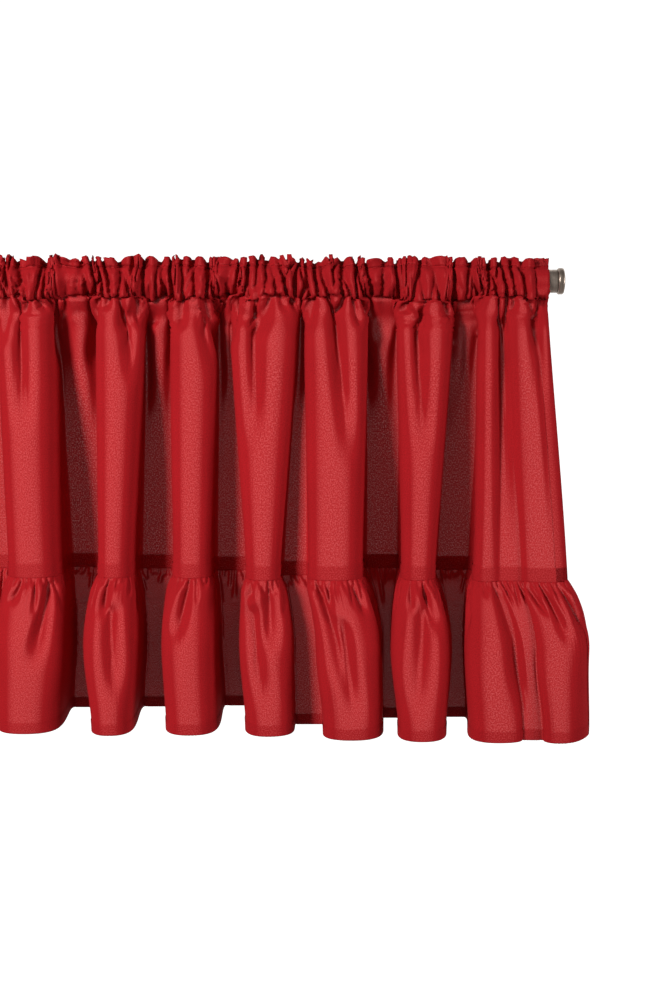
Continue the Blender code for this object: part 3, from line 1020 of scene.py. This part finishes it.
fallen = SEAM - ruffle_front[..., 2].mean(axis=1)
free = np.ones(ruffle_front.shape[:2])
free[:2] = 0.0
free[2] = NEARLY_HELD
free[-3:] = HEM_FREE
pull = (0.03 + 0.05 * ramp(fallen, 0, 129))[:, None, None]
smooth = ramp(fallen, 15, 100)[:, None]
stiff = (mix(0.55, 0.75, smooth), mix(0.4, 0.55, smooth))
across, down = thread_lengths(ruffle_front, 1.015, 8), 1.01 * row_lengths(ruffle_front)
ruffle_front = settle(ruffle_front, across, down, free, pull, 90, stiff, pushed=(3,), room=0.9)

# %% Ruffle sheet
hem_rows = ruffle_front - surface_normals(ruffle_front) * LAYER_GAP
hem_rows = hem_rows[-2 : -BAND_ROWS - 2 : -1]
ruffle_grid = np.concatenate([ruffle_front, hem_rows])[::-1]
ruffle_grid = turn_under(ruffle_grid, SIDE_HEM, LAYER_GAP)
RUFFLE_FLAT = cut_size("ruffle", ruffle_grid)
ruffle = make_sheet("ruffle_cloth", ruffle_grid, RUFFLE_FLAT)


# %% [markdown]
# ## The rod and its end caps
# The rod is a plain tube, and each cap is a turned ring with a low dome. They could be built
# from cylinders, but a lathe would spin them from one profile about the rod's axis, and so do
# we: small rounds at the edges come with it.

# %% Turned pieces
SIDES = 96
SHARP_EDGE = 40.0


def finished_mesh(name, mesh):
    """Mesh data from a bmesh, which is freed."""
    data = bpy.data.meshes.new(name)
    mesh.to_mesh(data)
    mesh.free()
    return data


def turned(name, profile):
    """A piece spun about the X axis from (x, radius) points in mm."""
    mesh = bmesh.new()
    verts = [mesh.verts.new((x * MM, radius * MM, 0.0)) for x, radius in profile]
    edges = [mesh.edges.new(pair) for pair in zip(verts, verts[1:])]
    bmesh.ops.spin(
        mesh, geom=verts + edges, axis=(1, 0, 0), cent=(0, 0, 0), angle=2 * math.pi,
        steps=SIDES, use_merge=True,
    )
    bmesh.ops.remove_doubles(mesh, verts=mesh.verts, dist=1e-6)
    bmesh.ops.recalc_face_normals(mesh, faces=mesh.faces)
    data = finished_mesh(name, mesh)
    data.shade_smooth()
    data.set_sharp_from_angle(angle=math.radians(SHARP_EDGE))
    print(name, "has", len(data.polygons), "faces")
    return add_object(name, data)


def arc(centre, radius, start, end, steps):
    """Points (x, radius) on an arc of the profile, with angles in degrees."""
    found = []
    for step in range(steps + 1):
        angle = math.radians(mix(start, end, step / steps))
        found.append((centre[0] + radius * math.cos(angle), centre[1] + radius * math.sin(angle)))
    return found


# %% Rod and caps
ROD_END = 463.8
ROD_BORE = 8.5
EDGE_ROUND = 0.15

rod_edge = [(ROD_END - EDGE_ROUND, 9.5), (ROD_END, 9.35), (ROD_END, ROD_BORE)]
rod = turned("rod_tube", [(-x, radius) for x, radius in reversed(rod_edge)] + rod_edge)
cap_profile = [(-13.7, 0.0), (-13.7, 7.2), (-12.7, 8.2), (0.3, 8.2), (0.3, 9.0)]
cap_profile += arc((1.7, 9.4), 1.4, 180, 90, 5) + arc((4.1, 9.4), 1.4, 90, 0, 5)
cap_profile += [(5.75, 8.6), (6.1, 7.0), (6.3, 4.0), (6.3, 0.0)]
caps = [
    turned(f"cap_{label}", [(side * (ROD_END + x), radius) for x, radius in cap_profile])
    for side, label in ((1, "right"), (-1, "left"))
]


# %% [markdown]
# ## Cotton
# The cloth is a plain-weave cotton, thin enough to let light through and loose enough to
# show tiny gaps between its threads. One plain red would look like plastic. Three things make
# it cotton: a matt surface with a grain, a share of light that soaks through from
# behind, and pinholes that open where the cloth faces the room squarely. There the grain is
# also painted paler: a painted highlight of threads glinting in the lamps, and on single
# layers painted light from the backdrop seen through the weave. Noise that is laid
# out on the cut cloth stands for the threads, so it follows every fold.

# %% Cotton finish
DARK_THREAD, RED_THREAD = (0.29, 0.0078, 0.0108, 1), (0.43, 0.0118, 0.0162, 1)
# The paler red below is painted light: it stands for threads glinting in the lamps and for the
# backdrop seen through the weave.
PAINTED_LIGHT_RED = (0.56, 0.046, 0.048, 1)
SOAKED_RED = (0.62, 0.016, 0.018, 1)
PALE_GAP = (0.9, 0.8, 0.8, 1)
LAYER_EDGE = 0.001


def cotton(name, single_from, single_to):
    """Red cotton: one layer thick between two heights of the cut, and doubled outside them. Faces
    toward the room are painted paler as painted light, and single layers most.
    """
    finish = Finish(name)
    place = finish.node("ShaderNodeUVMap", {"uv_map": "cut"}, {})
    height = finish.node("ShaderNodeSeparateXYZ", {}, {"Vector": place}, "Y")
    normal = finish.node("ShaderNodeNewGeometry", {}, {}, "Normal")
    outward = finish.node("ShaderNodeSeparateXYZ", {}, {"Vector": normal}, "Y")
    threads = finish.node(
        "ShaderNodeTexNoise", {},
        {"Vector": place, "Scale": 1250.0, "Detail": 1.5, "Roughness": 0.7},
    )
    cloudy = finish.node(
        "ShaderNodeTexNoise", {},
        {"Vector": place, "Scale": 22.0, "Detail": 3.0, "Roughness": 0.6},
    )
    above = height.step(single_from - LAYER_EDGE, single_from + LAYER_EDGE)
    single = above * (1 - height.step(single_to - LAYER_EDGE, single_to + LAYER_EDGE))
    # facing is 1 where the cloth faces the room squarely: it opens the pinholes and places the
    # painted light below.
    facing = abs(outward).step(0.88, 1.0)
    grain, open_weave = threads.step(0.32, 0.68), threads.step(0.48, 0.66)
    tone = cloudy.step(0.3, 0.7)
    red = finish.blend_colours(grain * 0.8 + tone * 0.2, DARK_THREAD, RED_THREAD)
    # Painted light: facing parts are painted paler along the grain as a painted glint of threads in
    # the lamp light, and single layers more, as painted light from the backdrop seen through the
    # weave.
    painted_light = facing * (0.2 + 0.3 * grain + single * (0.15 + 0.35 * grain))
    surface = finish.node(
        "ShaderNodeBsdfPrincipled", {},
        {
            "Base Color": finish.blend_colours(painted_light, red, PAINTED_LIGHT_RED),
            "Roughness": 0.9,
            "Specular IOR Level": 0.06,
        },
    )
    soaked = finish.node("ShaderNodeBsdfTranslucent", {}, {"Color": SOAKED_RED})
    gaps = finish.node("ShaderNodeBsdfTranslucent", {}, {"Color": PALE_GAP})
    cloth = finish.blend_shaders(0.06, surface, soaked)
    return finish.made_of(finish.blend_shaders(open_weave * facing * 0.075, cloth, gaps))


# %% Cotton on the cloths
def cut_height(grid, flat, row):
    """How far up the cut cloth a row lies, in metres."""
    return flat[1] * row / (len(grid) - 1)


panel_single = [
    cut_height(panel_grid, PANEL_FLAT, row) for row in (2 * BAND_ROWS, BAND_ROWS + lower)
]
ruffle_single = (cut_height(ruffle_grid, RUFFLE_FLAT, 2 * BAND_ROWS), RUFFLE_FLAT[1] + 1)
panel.data.materials.append(cotton("red_cotton_panel", *panel_single))
ruffle.data.materials.append(cotton("red_cotton_ruffle", *ruffle_single))


# %% [markdown]
# ## Pewter
# The rod and caps have a dark pewter plating, brushed round the tube. A mirror finish would
# need a whole room to reflect. Fine rings in the bump draw the highlight out along the rod
# instead; the same rings streak the colour, and a coarser noise varies the roughness.

# %% Pewter finish
DARK_PEWTER, PALE_PEWTER = (0.33, 0.26, 0.21, 1), (0.53, 0.43, 0.36, 1)
RINGS = (2600, 60, 60)


def pewter(name):
    finish = Finish(name)
    place = finish.node("ShaderNodeTexCoord", {}, {}, "Object")
    drawn = finish.node(
        "ShaderNodeMapping", {"vector_type": "POINT"}, {"Vector": place, "Scale": RINGS}
    )
    brushed = finish.node(
        "ShaderNodeTexNoise", {}, {"Vector": drawn, "Scale": 1.0, "Detail": 3.0}
    )
    worn = finish.node("ShaderNodeTexNoise", {}, {"Vector": place, "Scale": 180.0, "Detail": 4.0})
    bump = finish.node(
        "ShaderNodeBump", {}, {"Strength": 0.3, "Distance": 0.0001, "Height": brushed}
    )
    surface = finish.node(
        "ShaderNodeBsdfPrincipled", {},
        {
            "Base Color": finish.blend_colours(brushed.step(0.3, 0.7), DARK_PEWTER, PALE_PEWTER),
            "Metallic": 0.9,
            "Roughness": 0.34 + 0.12 * worn.step(0.4, 0.7),
            "Normal": bump,
        },
    )
    return finish.made_of(surface)


metal = pewter("pewter")
for piece in (rod, *caps):
    piece.data.materials.append(metal)


# %% [markdown]
# ## Floor, backdrop and light
# A wide pale wall behind the valance glows evenly, so the cloth is seen against white and
# light soaks through it from behind. A soft lamp on the left gives the folds their bright
# left sides and dark right sides. A weaker one, far round to the right, keeps those right
# sides from going black, and can't reach the valleys. The room itself adds a faint glow.

# %% Floor and backdrop
def plane(name, size, place, turn):
    mesh = bmesh.new()
    bmesh.ops.create_grid(mesh, x_segments=1, y_segments=1, size=0.5 * size)
    piece = add_object(name, finished_mesh(name, mesh))
    piece.location, piece.rotation_euler = place, turn
    return piece


def paper(name, glow):
    finish = Finish(name)
    surface = finish.node(
        "ShaderNodeBsdfPrincipled", {},
        {
            "Base Color": (0.6, 0.6, 0.6, 1),
            "Roughness": 1.0,
            "Emission Color": (1, 1, 1, 1),
            "Emission Strength": glow,
        },
    )
    return finish.made_of(surface)


floor = plane("floor", 13.0, (0.0, 0.0, -2.6), (0, 0, 0))
floor.data.materials.append(paper("floor_paper", 0.0))
wall = plane("backdrop", 1.0, (0.0, 3.2, 1.4), (math.radians(90.0), 0, 0))
wall.scale = (13.0, 8.0, 1.0)
wall.data.materials.append(paper("glowing_paper", 1.0))

# %% Room and lamps
LIT_PLACE = (0.1, 0, -0.18)
LAMP_SPREAD = 70.0

world = bpy.data.worlds.new("room")
bpy.context.scene.world = world
world.use_nodes = True
background = world.node_tree.nodes["Background"]
background.inputs["Color"].default_value = (1, 1, 1, 1)
background.inputs["Strength"].default_value = 0.10


def lamp(name, place, size, power):
    """A square lamp that faces the valance."""
    data = bpy.data.lights.new(name, "AREA")
    data.shape, data.size, data.energy = "SQUARE", size, power
    data.spread = math.radians(LAMP_SPREAD)
    made = add_object(name, data)
    made.location = place
    towards = Vector(LIT_PLACE) - Vector(place)
    made.rotation_euler = towards.to_track_quat("-Z", "Y").to_euler()
    print(name, "lamp:", power, "W")


lamp("key", (-1.5, -2.06, 0.75), 0.6, 12.7)
lamp("fill", (2.6, -1.15, 0.1), 0.8, 5.4)


# %% [markdown]
# ## Putting it together
# Each piece rides on the part's one body and stands for its solid.

pairs = (
    (panel, "valance_panel", "panel_cotton"),
    (ruffle, "ruffle", "ruffle_cotton"),
    (rod, "curtain_rod", "rod_metal"),
    (caps[0], "end_cap_right", "right_cap_metal"),
    (caps[1], "end_cap_left", "left_cap_metal"),
)
for piece, node, slot in pairs:
    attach(piece, "root")
    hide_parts(node)
